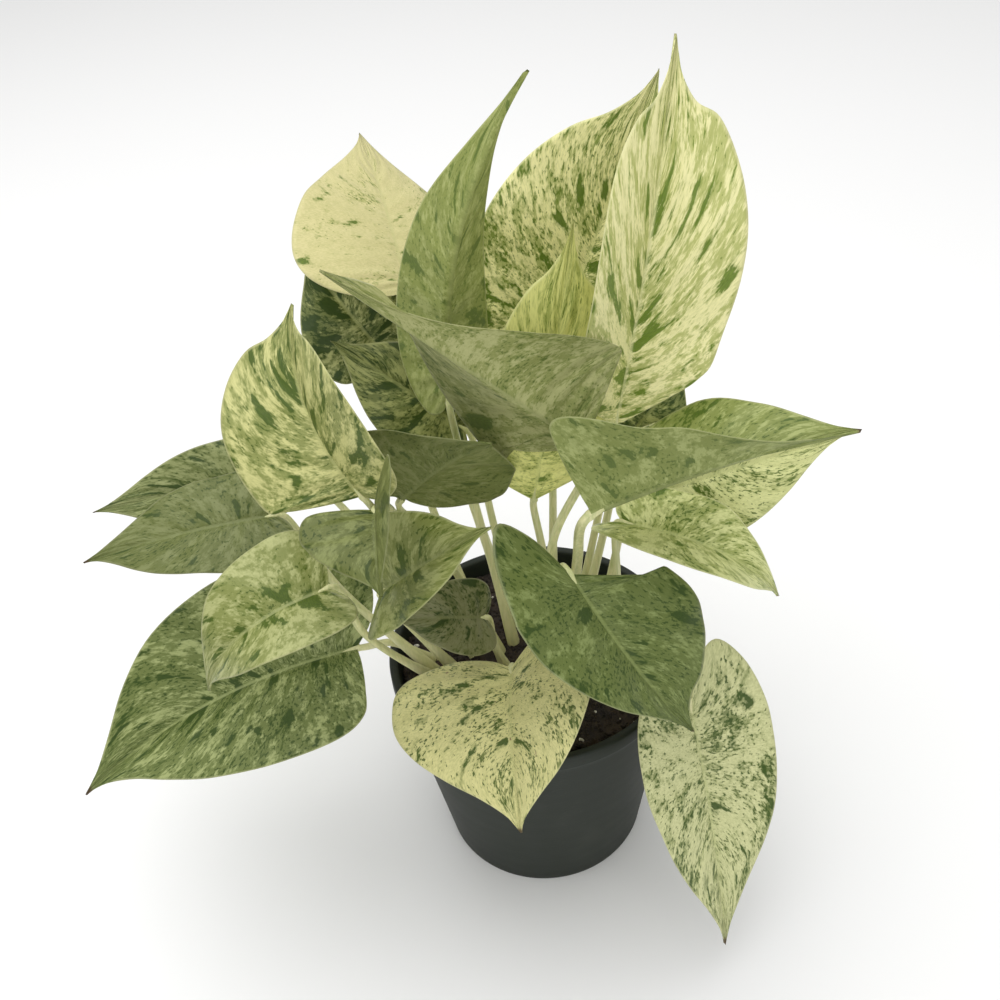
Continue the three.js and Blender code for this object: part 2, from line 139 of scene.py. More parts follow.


# Every leaf: base and tip, width, face (compass and height angle the upper side looks to, at
# base and tip; compass 0 is the front, 90 the right), arch and sway (bow of the midrib up and
# to the right), curl (turn of each half from midrib to margin), wave (height, count and phase
# of the margin's waves), root and bend of its stalk, and the stalk's radius. Fold, lobe and
# belly are for the right and the left half, seen from base to tip with the upper side up:
# rise of the half, length of its basal lobe (below 0 the base is a wedge instead), and a belly
# below 1 puts the widest place nearer the tip.
# The tone in each look is painted light and shade: low for the leaves lying in shade at the left and beneath,
# high for the leaves the light falls on.
LEAVES = {
    "01": dict(base=(35, 0, 214), tip=(61, 42, 335), width=64, face=((34, 25), (30, 30)), fold=(34, 30),
        belly=(0.52, 0.6), lobe=(-1.7, -1), root=(20, 12), bend=(35, 15, 170),
        look=tint("#eceabc", 0.5, 0.02, 0.5, 0.05, flare=0.3, tone=1.05)),
    "02": dict(base=(16, 50, 212), tip=(60, 68, 314), width=84, face=((-8, 30), (-5, 25)), fold=(16, 16),
        belly=(0.75, 0.75), lobe=(0.3, 0.3), root=(10, 26), bend=(14, 40, 160),
        look=tint("#e2e0b0", 0.5, 0.6, 0.68, 0.42, tone=1.2)),
    "03": dict(base=(4, -6, 188), tip=(24, 16, 287), width=46, face=((-5, 25), (0, 25)), fold=(-8, 14),
        belly=(0.7, 0.7), lobe=(-1.3, -1), root=(4, 6), bend=(7, 1, 145),
        look=tint("#d9dc94", 0.5, 0.4, 0.25, 0.3, tone=1.1)),
    "04": dict(base=(20, -36, 234), tip=(-50, -56, 318), width=74, face=((225, -20), (176, 40)), fold=(78, 8),
        arch=6, lobe=(-1, 0), sway=2, belly=(1, 2.8), root=(4, -12), bend=(9, -30, 190),
        look=tint("#ccd09a", 0.6, 0.45, 0.2, 0.3, tone=0.72)),
    "05": dict(base=(-23, 8, 226), tip=(11, 6, 342), width=50, face=((180, 5), (190, 5)), fold=(50, 50),
        sway=9, curl=0, belly=(1.3, 1.3), root=(-8, 8), bend=(-16, 10, 160),
        look=tint("#b9c284", 0.75, 0.45, 0.5, 0.35, tone=0.98)),
    "06": dict(base=(-35, 53, 245), tip=(-53, 151, 266), width=84, face=((90, 75), (90, 75)), fold=(-10, 12),
        lobe=(-1, 0.6), belly=(1.1, 1.3), root=(-8, 26), bend=(-32, 62, 200),
        look=tint("#dcd6a6", 0.08, 0.12, 0.0, 0.2, spots=0.25, tone=0.84)),
    "07": dict(base=(-50, 62, 215), tip=(-76, 84, 247), width=46, face=((-10, 45), (-10, 45)), fold=(12, 12),
        root=(-22, 22), bend=(-40, 48, 160),
        look=tint("#c9cf96", 0.7, 0.6, 0.8, 0.9, tone=0.75)),
    "08": dict(base=(-54, -32, 219), tip=(-72, 15, 267), width=60, face=((-12, 50), (-10, 50)), fold=(60, 4),
        sway=-7, belly=(0.8, 0.58), lobe=(1, -1.6), root=(-24, 12), bend=(-46, -6, 170),
        look=tint("#dedfa2", 0.6, 0.35, 0.66, 0.55, tone=0.8)),
    "09": dict(base=(-19, 30, 196), tip=(-66, 45, 232), width=44, face=((-10, 50), (-10, 50)), fold=(12, 12),
        lobe=(0.3, 1), root=(-6, 18), bend=(-12, 28, 150),
        look=tint("#c3cb86", 0.6, 0.6, 0.6, 0.75, tone=0.54)),
    "10": dict(base=(-43, -10, 199), tip=(-9, -40, 243), width=67, face=((170, 30), (170, 30)), fold=(12, 12),
        root=(-14, 4), bend=(-34, 2, 165),
        look=tint("#a9b27a", 0.7, 0.5, 0.3, 0.5, tone=0.62)),
    "11": dict(base=(-48, -50, 228), tip=(-47, -80, 219), width=48, face=((0, 50), (0, 45)), fold=(5, 75),
        lobe=(0.5, 0.5), root=(-26, 3), bend=(-46, -14, 194),
        look=tint("#b9c681", 0.7, 0.35, 0.45, 0.45, tone=0.44)),
    "12": dict(base=(-51, -50, 192), tip=(-12, -64, 229), width=43, face=((15, 50), (20, 50)), fold=(52, 6),
        lobe=(-0.5, 0), belly=(0.8, 0.9), root=(-33, -3), bend=(-53, -24, 160),
        look=tint("#c3cc8c", 0.65, 0.3, 0.45, 0.35, flare=0.3, tone=0.62)),
    "13": dict(base=(-68, -50, 196), tip=(-114, -62, 164), width=47, face=((-15, 55), (-20, 45)),
        fold=(10, 40),
        lobe=(0.6, 0.6), arch=13, belly=(1.15, 1.25), sway=3, root=(-40, -8), bend=(-62, -30, 150),
        look=tint("#cfd69c", 0.6, 0.3, 0.42, 0.35, flare=0.35, tone=0.66)),
    "14": dict(base=(-71, -6, 119), tip=(-188, -33, 76), width=90, face=((0, 60), (-10, 55)), fold=(25, 35),
        arch=4, sway=8, lobe=(1, 0.2), root=(-42, 4), bend=(-58, -2, 116),
        look=tint("#b4c089", 0.75, 0.6, 0.42, 0.85, tip=0.8, flare=0.25, tone=0.8)),
    "15": dict(base=(-90, 40, 176), tip=(-174, 40, 164), width=36, face=((0, 50), (-5, 45)), fold=(12, 12),
        root=(-34, 18), bend=(-66, 32, 150),
        look=tint("#b1bb86", 0.6, 0.6, 0.5, 0.8, tip=0.6, tone=0.66)),
    "16": dict(base=(-92, 2, 186), tip=(-167, 0, 173), width=42, face=((-5, 72), (-5, 68)), fold=(10, 10),
        root=(-40, -4), bend=(-74, -2, 150),
        look=tint("#a9b47c", 0.7, 0.55, 0.2, 0.5, spots=0.3, tip=1.0, tone=0.5)),
    "17": dict(base=(-10, -33, 129), tip=(-12, -92, 108), width=94, face=((-18, 60), (-18, 50)), fold=(0, 42),
        arch=8, lobe=(1.6, 1.4), root=(-8, -14), bend=(-10, -24, 118),
        look=tint("#dcdaa4", 0.2, 0.6, 0.3, 0.75, spots=0.5, tip=0.6, tone=0.98)),
    "18": dict(base=(-18, -18, 142), tip=(-52, -26, 153), width=30, face=((0, 55), (0, 55)), fold=(10, 10),
        root=(-12, -6), bend=(-16, -12, 122),
        look=tint("#a8ab82", 0.5, 0.6, 0.4, 0.8, tone=0.52)),
    "19": dict(base=(13, -50, 192), tip=(52, -76, 135), width=66, face=((25, 45), (30, 40)), fold=(28, 6),
        arch=5, belly=(1.6, 0.5), lobe=(4, -2.4), sway=4, root=(8, -10), bend=(12, -26, 162),
        look=tint("#95a56c", 0.85, 0.62, 0.4, 0.85, tip=0.3, tone=0.76)),
    "20": dict(base=(57, -42, 111), tip=(65, -94, 21), width=62, face=((15, 30), (15, 20)), fold=(30, 8),
        arch=5, lobe=(1, 2.2), belly=(1.15, 1.15), root=(36, -20), bend=(50, -32, 112),
        look=tint("#cfd3a8", 0.4, 0.62, 0.36, 0.85, tip=1.0)),
    "21": dict(base=(20, -52, 221), tip=(104, -52, 244), width=70, face=((180, 50), (0, 75)), fold=(60, 25),
        arch=2, lobe=(0.1, 0.2), belly=(1.7, 1), root=(14, -8), bend=(17, -31, 180), stalk=2.2,
        look=tint("#b4bf83", 0.75, 0.5, 0.42, 0.5, tip=0.4, tone=0.8)),
    "22": dict(base=(43, 3, 177), tip=(118, 0, 200), width=50, face=((15, 42), (15, 42)), fold=(12, 12),
        lobe=(0.4, 0.4), root=(26, 2), bend=(35, 6, 145),
        look=tint("#d5daa4", 0.3, 0.62, 0.2, 0.55, tone=0.95)),
    "23": dict(base=(35, -14, 181), tip=(92, -28, 149), width=36, face=((20, 60), (25, 35)), fold=(45, 4),
        arch=18, root=(26, -10), bend=(33, -14, 145),
        look=tint("#c8ce9a", 0.6, 0.55, 0.25, 0.5, tip=0.4, tone=1.15)),
    "24": dict(base=(41, 20, 192), tip=(66, 34, 213), width=34, face=((20, 40), (20, 40)), fold=(12, 12),
        lobe=(0.4, 0.4), root=(20, 20), bend=(32, 22, 160),
        look=tint("#c2c98b", 0.7, 0.7, 0.6, 0.9, tone=0.8)),
}

STALK_TAPER = 0.30
STALK_SHEATH = 0.55
STALK_SWELL = 0.12
STEM_RADIUS = 4.0
STEM_TAPER = 0.15
STEM_RING = 0.35
STEMS = {
    "stem_front": dict(root=(2, -22), bend=(1, -25, 106), top=(-4, -29, 112)),
    "stem_left": dict(root=(-22, -24), bend=(-26, -26, 106), top=(-34, -27, 110)),
    "stem_back": dict(root=(-2, 36), bend=(-1, 37, 110), top=(4, 40, 122)),
}

# ---- studio, in metres and degrees ----
FLOOR_SIZE = 6.0
LIGHT_AIM = (0, 0, 0.18)
# name, place, width and share of the key power
LIGHTS = (
    ("overhead", (-0.25, 0.15, 1.35), 1.5, 1.0),
    ("front", (0.35, -1.3, 0.9), 1.1, 0.35),
)
CAMERA_PLACE = (-8.3, -340.0, 475.0)  # millimetres
CAMERA_TILT = 40.5
CAMERA_ROLL = 5.3
CAMERA_LENS = 43.45
SENSOR_WIDTH = 36.0


# ---- sizes and colours a user would change ----

def colour_setting(name, description, default):
    return bpy.props.FloatVectorProperty(
        name=name, description=description, subtype="COLOR", size=3, default=default)


def count_setting(name, description, default, least, most):
    return bpy.props.IntProperty(
        name=name, description=description, default=default, min=least, max=most)


def number_setting(name, description, default, **others):
    return bpy.props.FloatProperty(name=name, description=description, default=default, **others)


class PotSettings(bpy.types.PropertyGroup):
    turned_steps: count_setting("Steps round", "Number of flats round the pot", 160, 24, 360)
    ring_height: number_setting(
        "Moulded line height", "How far the fine moulded lines stand off the wall", 0.00002,
        min=0.0, max=0.001, unit="LENGTH")
    plastic: colour_setting("Plastic", "Colour of the pot", (0.015, 0.020, 0.0135))


class SoilSettings(bpy.types.PropertyGroup):
    crumbs: number_setting("Crumbs", "Peat crumbs per square metre", 330000.0, min=0.0)
    perlite: number_setting("Perlite", "Perlite grains per square metre", 9000.0, min=0.0)
    peat: colour_setting("Peat", "Colour of the potting mix", (0.016, 0.011, 0.008))


class LeafSettings(bpy.types.PropertyGroup):
    thickness: number_setting("Thickness", "Thickness of a blade", 0.0006, min=0.0002, unit="LENGTH")
    vein_height: number_setting(
        "Vein relief", "Swell of the blade between its side veins", 0.0006, min=0.0, unit="LENGTH")
    rows: count_setting("Rows", "Mesh rows along a blade", 72, 12, 200)
    columns: count_setting("Columns", "Mesh columns per half", 20, 4, 60)
    bright_green: colour_setting("Young green", "Green of the young leaves", (0.155, 0.25, 0.024))
    deep_green: colour_setting("Old green", "Green of the old leaves", (0.030, 0.064, 0.012))


class StalkSettings(bpy.types.PropertyGroup):
    groove: number_setting(
        "Groove", "Depth of the channel along a stalk, as a share of its radius", 0.45,
        min=0.0, max=0.9, subtype="FACTOR")
    tone: colour_setting("Stalk", "Colour of the stalks", (0.70, 0.68, 0.36))


class StudioSettings(bpy.types.PropertyGroup):
    key: number_setting("Key", "Power of the overhead light", 14.5, unit="POWER")
    fill: number_setting("Fill", "Strength of the surrounding light", 0.62)
    floor: colour_setting("Floor", "Colour of the floor", (0.9, 0.9, 0.895))


# ---- shader and geometry node helpers ----

def linear(code):
    """Linear colour from a web colour code."""
    parts = [int(code[i:i + 2], 16) / 255 for i in (1, 3, 5)]
    return tuple(c / 12.92 if c <= 0.04045 else ((c + 0.055) / 1.055) ** 2.4 for c in parts)


class Wire:
    """A number socket that takes part in sums."""

    def __init__(self, tree, socket):
        self.tree = tree
        self.socket = socket

    def _math(self, operation, *values):
        node = self.tree.add("ShaderNodeMath", dict(operation=operation), list(values))
        return Wire(self.tree, node.outputs[0])

    def __add__(self, other):
        return self._math("ADD", self, other)

    __radd__ = __add__

    def __sub__(self, other):
        return self._math("SUBTRACT", self, other)

    def __rsub__(self, other):
        return self._math("SUBTRACT", other, self)

    def __mul__(self, other):
        return self._math("MULTIPLY", self, other)

    __rmul__ = __mul__

    def __truediv__(self, other):
        return self._math("DIVIDE", self, other)

    def sine(self):
        return self._math("SINE", self)

    def step(self, low, high):
        """0 below low, 1 above high, smooth between."""
        node = self.tree.add("ShaderNodeMapRange", dict(interpolation_type="SMOOTHSTEP"),
                             {"Value": self, "From Min": low, "From Max": high})
        return Wire(self.tree, node.outputs[0])


class NodeTree:
    """A node tree with one method for adding any node."""

    def __init__(self, tree):
        self.tree = tree

    def add(self, kind, settings=None, inputs=None):
        node = self.tree.nodes.new(kind)
        for key, value in (settings or {}).items():
            setattr(node, key, value)
        pairs = enumerate(inputs) if isinstance(inputs, list) else (inputs or {}).items()
        for key, value in pairs:
            socket = node.inputs[key]
            value = value.socket if isinstance(value, Wire) else value
            if isinstance(value, bpy.types.NodeSocket):
                self.tree.links.new(value, socket)
            elif value is not None:
                socket.default_value = value
        return node

    def link(self, source, target):
        self.tree.links.new(source.socket if isinstance(source, Wire) else source, target)


class Finish(NodeTree):
    """A material with a Principled surface."""

    def __init__(self, name):
        self.material = bpy.data.materials.new(name)
        self.material.use_nodes = True
        super().__init__(self.material.node_tree)
        self.tree.nodes.clear()
        self.surface = self.add("ShaderNodeBsdfPrincipled")
        output = self.add("ShaderNodeOutputMaterial")
        self.link(self.surface.outputs[0], output.inputs[0])

    def attribute(self, name):
        node = self.add("ShaderNodeAttribute", dict(attribute_name=name, attribute_type="GEOMETRY"))
        return node.outputs["Vector"]

    def place(self):
        return self.add("ShaderNodeTexCoord").outputs["Object"]

    def split(self, vector):
        node = self.add("ShaderNodeSeparateXYZ", None, [vector])
        return [Wire(self, socket) for socket in node.outputs]

    def join(self, x, y, z):
        return self.add("ShaderNodeCombineXYZ", None, [x, y, z]).outputs[0]

    def noise(self, vector, scale, detail=2.0, rough=0.5, twist=0.0):
        node = self.add("ShaderNodeTexNoise", dict(noise_dimensions="3D"),
                        {"Vector": vector, "Scale": scale, "Detail": detail, "Roughness": rough,
                         "Distortion": twist})
        return Wire(self, node.outputs[0])

    def mix(self, factor, first, second):
        """Colour blend; a colour is a socket or a plain (r, g, b)."""
        first, second = ((*c, 1.0) if isinstance(c, tuple) else c for c in (first, second))
        node = self.add("ShaderNodeMix", dict(data_type="RGBA"), {0: factor, 6: first, 7: second})
        return node.outputs[2]

    def bump(self, height, distance, strength=1.0):
        node = self.add("ShaderNodeBump", None,
                        {"Height": height, "Distance": distance, "Strength": strength})
        self.link(node.outputs[0], self.surface.inputs["Normal"])

    def set(self, **values):
        for key, value in values.items():
            socket = self.surface.inputs[key.replace("_", " ")]
            if isinstance(value, (Wire, bpy.types.NodeSocket)):
                self.link(value, socket)
            else:
                socket.default_value = (*value, 1.0) if isinstance(value, tuple) else value
        return self.material


class Recipe(NodeTree):
    """A Geometry Nodes tree with named inputs, ending in Realize Instances and Set Material."""

    def __init__(self, name, inputs):
        super().__init__(bpy.data.node_groups.new(name, "GeometryNodeTree"))
        face = self.tree.interface
        face.new_socket(name="Geometry", in_out="OUTPUT", socket_type="NodeSocketGeometry")
        face.new_socket(name="Geometry", in_out="INPUT", socket_type="NodeSocketGeometry")
        self.keys = {}
        for label, kind in inputs.items():
            item = face.new_socket(name=label, in_out="INPUT", socket_type=kind)
            self.keys[label] = item.identifier
        self.given = self.add("NodeGroupInput").outputs

    def end(self, geometry):
        realised = self.add("GeometryNodeRealizeInstances", None, [geometry])
        skinned = self.add("GeometryNodeSetMaterial", None,
                           {"Geometry": realised.outputs[0], "Material": self.given["Skin"]})
        output = self.add("NodeGroupOutput")
        self.link(skinned.outputs[0], output.inputs[0])

    def apply(self, name, source, values):
        """Run the tree on a mesh and return the result as a plain mesh object."""
        holder = new_piece(name + "_source", source)
        modifier = holder.modifiers.new("Recipe", "NODES")
        modifier.node_group = self.tree
        for label, value in values.items():
            modifier[self.keys[label]] = value
        graph = bpy.context.evaluated_depsgraph_get()
        mesh = bpy.data.meshes.new_from_object(
            holder.evaluated_get(graph), preserve_all_data_layers=True, depsgraph=graph)
        bpy.data.objects.remove(holder, do_unlink=True)
        if not mesh.polygons:
            raise RuntimeError(name + " came out empty")
        mesh.name = name
        return new_piece(name, mesh)


def plain_mesh(name, points, faces):
    """Mesh from points in metres."""
    mesh = bpy.data.meshes.new(name)
    mesh.from_pydata([tuple(p) for p in points], [], faces)
    mesh.update()
    return mesh


def ring_points(radius, z, steps, x=0.0, y=0.0):
    """Points round a level circle given in millimetres."""
    turns = [2 * math.pi * k / steps for k in range(steps)]
    return [Vector((x + radius * math.cos(a), y + radius * math.sin(a), z)) * MM for a in turns]


def band(low, high, steps):
    """Faces between two rings of points, numbered from low and from high."""
    pairs = [(k, (k + 1) % steps) for k in range(steps)]
    return [(low + k, low + n, high + n, high + k) for k, n in pairs]


def smooth(mesh):
    mesh.polygons.foreach_set("use_smooth", [True] * len(mesh.polygons))
    return mesh


def settle(piece, slot, *nodes):
    """Tie a finished piece to the frame."""
    if nodes:
        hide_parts(*nodes)
    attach(piece, BODY)


def new_piece(name, mesh):
    piece = bpy.data.objects.new(name, mesh)
    bpy.context.scene.collection.objects.link(piece)
    return piece


# ---- blade geometry ----

def direction(angles):
    c, h = (math.radians(a) for a in angles)
    return Vector((math.sin(c) * math.cos(h), -math.cos(c) * math.cos(h), math.sin(h)))


def midrib_frame(leaf, share):
    """Midrib point and the along, across and upward directions at a share of the length."""
    base, tip = Vector(leaf["base"]), Vector(leaf["tip"])
    chord = tip - base
    face_base, face_tip = (direction(face) for face in leaf["face"])
    rise = (face_base + face_tip).normalized()
    rise = (rise - chord * (rise.dot(chord) / chord.length_squared)).normalized()
    along = min(max(share, 0.0), 1.0)
    bow = rise * leaf["arch"] + chord.normalized().cross(rise) * leaf["sway"]
    point = base + chord * share + bow * (4 * along * (1 - along))
    tangent = (chord + bow * (4 * (1 - 2 * along))).normalized()
    if share < 0:
        point = base + tangent * (share * chord.length)
    face = face_base.lerp(face_tip, along)
    up = (face - tangent * face.dot(tangent)).normalized()
    return point, tangent, up, tangent.cross(up)


def margin_place(edge, spread, lobe, belly):
    """Where a vein meets the margin, with the leaf's own lobe and belly. A belly below 1 fades
    out in the neck; a half with a belly of 1 or more has no neck."""
    if edge < 0:
        return -lobe * WEDGE * spread if lobe < 0 else edge * lobe
    if belly >= 1:
        return edge**belly
    neck = min(max((edge - NECK_START) / (NECK_END - NECK_START), 0.0), 1.0)
    return edge**belly * (1 - neck) + edge * neck


def row_curves(leaf, places):
    """Midrib place, right and left margin place and spread at places between 0 and 1, smooth
    through the rows of the table."""
    rows = np.array([
        [rib, margin_place(edge, spread, leaf["lobe"][0], leaf["belly"][0]),
         margin_place(edge, spread, leaf["lobe"][1], leaf["belly"][1]), spread]
        for rib, edge, spread in LEAF_ROWS])
    last = len(rows) - 1
    slopes = np.gradient(rows, axis=0)
    index = np.clip((places * last).astype(int), 0, last - 1)
    t = (places * last - index)[:, None]
    low, high = rows[index], rows[index + 1]
    value = ((2 * t**3 - 3 * t**2 + 1) * low + (t**3 - 2 * t**2 + t) * slopes[index]
             + (-2 * t**3 + 3 * t**2) * high + (t**3 - t**2) * slopes[index + 1])
    value[:, 3] = np.clip(value[:, 3], 0, 1.02)
    return value


def blade_mesh(name, leaf, seed, settings):
    """Thin blade with midrib, side veins and waved margin. Its attributes are flow (distance
    across and along the veins, and the leaf's own shift), spot (distance from midrib and
    margin, and share of the length) and under (1 on the underside)."""
    rows, columns = settings.rows, settings.columns
    thickness = settings.thickness / MM
    relief = settings.vein_height / MM
    places = np.linspace(0, 1, rows + 1)
    table = row_curves(leaf, places)
    length = (Vector(leaf["tip"]) - Vector(leaf["base"])).length
    half_width = leaf["width"] / 2
    veins = max(5, round(length / VEIN_SPACING))
    stretch = np.zeros(rows + 1)
    for i in range(1, rows + 1):
        a0 = table[i - 1, 0] + (table[i - 1, 1] - table[i - 1, 0]) * 0.5
        a1 = table[i, 0] + (table[i, 1] - table[i, 0]) * 0.5
        b0, b1 = table[i - 1, 3] * 0.6, table[i, 3] * 0.6
        stretch[i] = stretch[i - 1] + math.hypot((a1 - a0) * length, (b1 - b0) * half_width)

    def point(i, column, skin):
        side = 1 if column > 0 else -1
        half = 0 if side > 0 else 1
        rib, edge, spread = table[i, 0], table[i, 1 + half], table[i, 3]
        share = abs(column) / columns
        along = rib + (edge - rib) * share**VEIN_SWEEP
        centre, tangent, up, across = midrib_frame(leaf, along)
        reach = share * spread * half_width
        fold = leaf["fold"][half]
        angle = math.radians(fold + leaf["curl"] * share / 2)
        height, count, phase = leaf["wave"]
        ripple = height * share**2 * spread * math.sin(
            2 * math.pi * (count * along + phase * (1 if side > 0 else LEFT_WAVE_SHIFT)))
        ripple += 1.6 * share**2 * spread * noise.noise(Vector((along * 6, side * 2.0, seed * 3.1)))
        # swell between the side veins, and a soft dip along the midrib
        sweep = places[i] * veins - 0.9 * share
        swell = (relief * math.sin(math.pi * sweep) ** 2 * min(1.0, 3 * share) * (1 - share**4)
                 * min(1, spread * 2))
        taper = 1 - 0.75 * along
        dip = -0.55 * taper * math.exp(-(reach / 0.9) ** 2)
        end_angle = math.radians(fold + leaf["curl"] * share) * side
        normal = up * math.cos(end_angle) - across * math.sin(end_angle)
        depth = 0.0
        if skin:
            depth = thickness * (0.35 + 0.65 * (1 - share**6))
            depth += 1.0 * taper * math.exp(-(reach / 1.1) ** 2)
        place = (centre + across * (side * reach * math.cos(angle))
                 + up * (reach * math.sin(angle) + ripple) + normal * (swell + dip - depth))
        crossing = stretch[i] / (1 + 0.34 * share)
        run = math.hypot(reach, stretch[i] - crossing)
        flow = (crossing + seed * LEAF_SHIFT, side * (run + HALF_GAP), seed * LEAF_DEPTH)
        beyond = 20 * (1 - min(1.0, spread * 8)) * (1 if along > 0.5 else 0)
        margin = (1 - share) * spread * half_width + beyond
        return place * MM, flow, (reach, margin, along)

    points, flows, spots, under = [], [], [], []

    def put(i, column, skin):
        place, flow, spot = point(i, column, skin)
        points.append(place)
        flows.append(flow)
        spots.append(spot)
        under.append(float(skin))
        return len(points) - 1

    faces = []
    rims = []
    for skin in (0, 1):
        grid = [[put(i, c, skin) for c in range(-columns, columns + 1)] for i in range(1, rows)]
        start, end = put(0, 0, skin), put(rows, 0, skin)
        flip = skin == 1
        for low, high in zip(grid, grid[1:]):
            for c in range(2 * columns):
                face = (low[c], low[c + 1], high[c + 1], high[c])
                faces.append(face[::-1] if flip else face)
        for c in range(2 * columns):
            first = (start, grid[0][c + 1], grid[0][c])
            last = (grid[-1][c], grid[-1][c + 1], end)
            faces.extend([first[::-1], last[::-1]] if flip else [first, last])
        rims.append([start] + [row[-1] for row in grid] + [end] + [row[0] for row in reversed(grid)])
    upper, lower = rims
    for k in range(len(upper)):
        n = (k + 1) % len(upper)
        faces.append((upper[k], lower[k], lower[n], upper[n]))
    mesh = smooth(plain_mesh(name, points, faces))
    for label, values in (("flow", flows), ("spot", spots)):
        layer = mesh.attributes.new(label, "FLOAT_VECTOR", "POINT")
        layer.data.foreach_set("vector", [v for row in values for v in row])
    layer = mesh.attributes.new("under", "FLOAT", "POINT")
    layer.data.foreach_set("value", under)
    return mesh


# ---- finishes ----

def blend(first, second, share):
    return tuple(a + (b - a) * share for a, b in zip(first, second))


def painted_shade_toned(colour, look):
    """A leaf colour times the leaf's tone, its painted light and shade, and warmed as all leaf colours are.
    """
    return tuple(part * look["tone"] * warm for part, warm in zip(colour, WARMTH))


def blade_finish(name, look, settings):
    """Marbled blade: cream ground, soft green haze, small specks, streaks and large patches
    along the veins, with pale midrib and margin."""
    f = Finish(name)
    bright, deep = tuple(settings.bright_green), tuple(settings.deep_green)
    # every leaf colour is scaled by the leaf's tone, a painted light and shade
    bright, deep = painted_shade_toned(bright, look), painted_shade_toned(deep, look)
    green = blend(bright, deep, look["deep"])
    cream = painted_shade_toned(linear(look["cream"]), look)
    haze_green = painted_shade_toned(blend(YOUNG_HAZE, OLD_HAZE, look["deep"]), look)
    flow = f.attribute("flow")
    x, y, seed = f.split(flow)
    near_rib, near_margin, along = f.split(f.attribute("spot"))
    under = Wire(f, f.add("ShaderNodeAttribute", dict(attribute_name="under")).outputs["Fac"])

    def field(across, down, detail, rough=0.5, twist=0.0, shift=0.0):
        return f.noise(f.join(x / across, y / down, seed + shift), 1.0, detail, rough, twist)

    broad = field(9.5, 21.0, 2.0, shift=3.0)
    soft = field(2.8, 5.4, 4.0, 0.62, shift=7.0)
    fine = field(0.95, 1.7, 3.0, 0.6, shift=13.0)
    grain = field(0.35, 1.3, 2.0, 0.5, shift=19.0)

    haze_level = 0.5 - 0.24 * (look["haze"] - 0.5)
    haze = (soft * 0.6 + broad * 0.4 + (fine - 0.5) * 0.35).step(haze_level - 0.05, haze_level + 0.07)
    speck_level = 0.665 - 0.15 * look["speck"]
    speck = (fine * 0.8 + soft * 0.2 + (broad - 0.5) * 0.3).step(speck_level - 0.01, speck_level + 0.022)
    streak_level = 0.685 - 0.075 * (look["speck"] + look["patch"])
    streak = (field(2.2, 4.3, 3.0, 0.55, 0.2, shift=23.0) * 0.85 + fine * 0.15 + (broad - 0.5) * 0.3).step(
        streak_level - 0.015, streak_level + 0.03)
    patch_level = 0.675 - 0.15 * look["patch"]
    patch_field = field(5.4, 12.5, 2.0, 0.45, 0.3, shift=29.0) * 0.82 + fine * 0.18 + (broad - 0.5) * 0.15
    if look["flare"]:
        beside_rib = (1 - near_rib.step(1.0, 12.0)) * (1 - along.step(0.45, 0.8))
        patch_field = patch_field + beside_rib * (0.2 * look["flare"])
    patch = patch_field.step(patch_level - 0.012, patch_level + 0.018)
    halo = patch_field.step(patch_level - 0.055, patch_level - 0.015)

    dull = blend(cream, haze_green, 0.28)
    ground = f.mix((grain * 0.6 + soft * 0.4).step(0.38, 0.62), cream, dull)
    colour = f.mix(haze * (0.5 + 0.4 * look["haze"]), ground, haze_green)
    colour = f.mix(streak * 0.75, colour, blend(green, haze_green, 0.3))
    colour = f.mix(speck * 0.85, colour, blend(green, deep, 0.35))
    mottled = f.mix(grain.step(0.3, 0.7), green, blend(green, deep, 0.5))
    colour = f.mix(halo * 0.45, colour, blend(haze_green, green, 0.5))
    colour = f.mix(patch * 0.92, colour, mottled)
    # pale midrib and margin line
    rib_line = (1 - near_rib.step(0.25, 1.0)) * (1 - along.step(0.5, 1.0)) * 0.6
    colour = f.mix(rib_line, colour, blend(cream, painted_shade_toned(RIB_COLOUR, look), 0.35))
    margin_line = 1 - near_margin.step(0.15, 0.7)
    colour = f.mix(margin_line * 0.6, colour, blend(cream, painted_shade_toned(MARGIN_COLOUR, look), 0.5))
    # duller, greyer underside
    colour = f.mix(under * 0.18, colour, blend(cream, painted_shade_toned(UNDER_COLOUR, look), 0.62))
    if look["spots"]:
        blot = field(5.0, 5.0, 2.0, 0.6, 0.4, shift=41.0).step(
            0.80 - 0.18 * look["spots"], 0.83 - 0.18 * look["spots"])
        colour = f.mix(blot * 0.85, colour, linear(SPOT_COLOUR))
    if look["tip"]:
        scorch = (along + (soft - 0.5) * 0.05).step(0.985 - 0.03 * look["tip"], 0.998 - 0.02 * look["tip"])
        colour = f.mix(scorch * 0.9, colour, linear(SCORCH_COLOUR))
    rough = 0.40 + under * 0.17 - patch * 0.05 + (grain - 0.5) * 0.12
    side_veins = (x * (2 * math.pi / VEIN_SPACING)).sine()
    f.bump(grain * 0.25 + fine * 0.25 + side_veins * 0.35, 0.00035, 0.8)
    return f.set(Base_Color=colour, Roughness=rough, IOR=1.42, Specular_IOR_Level=0.3)


def stalk_finish(name, tone):
    """Pale green stalk with faint lengthwise streaks."""
    f = Finish(name)
    x, y, z = f.split(f.place())
    streak = f.noise(f.join(x * 900, y * 900, z * 60), 1.0, 2.0)
    cloud = f.noise(f.place(), 60.0, 2.0)
    low = z.step(0.095, 0.17)
    colour = f.mix(streak.step(0.3, 0.7), tone, blend(tone, (0.33, 0.42, 0.13), 0.45))
    colour = f.mix((1 - low) * 0.5, colour, linear("#d8d4a6"))
    colour = f.mix(cloud.step(0.55, 0.75) * 0.35, colour, linear("#93a45a"))
    f.bump(streak, 0.0002, 0.5)
    return f.set(Base_Color=colour, Roughness=0.42 + streak * 0.15)


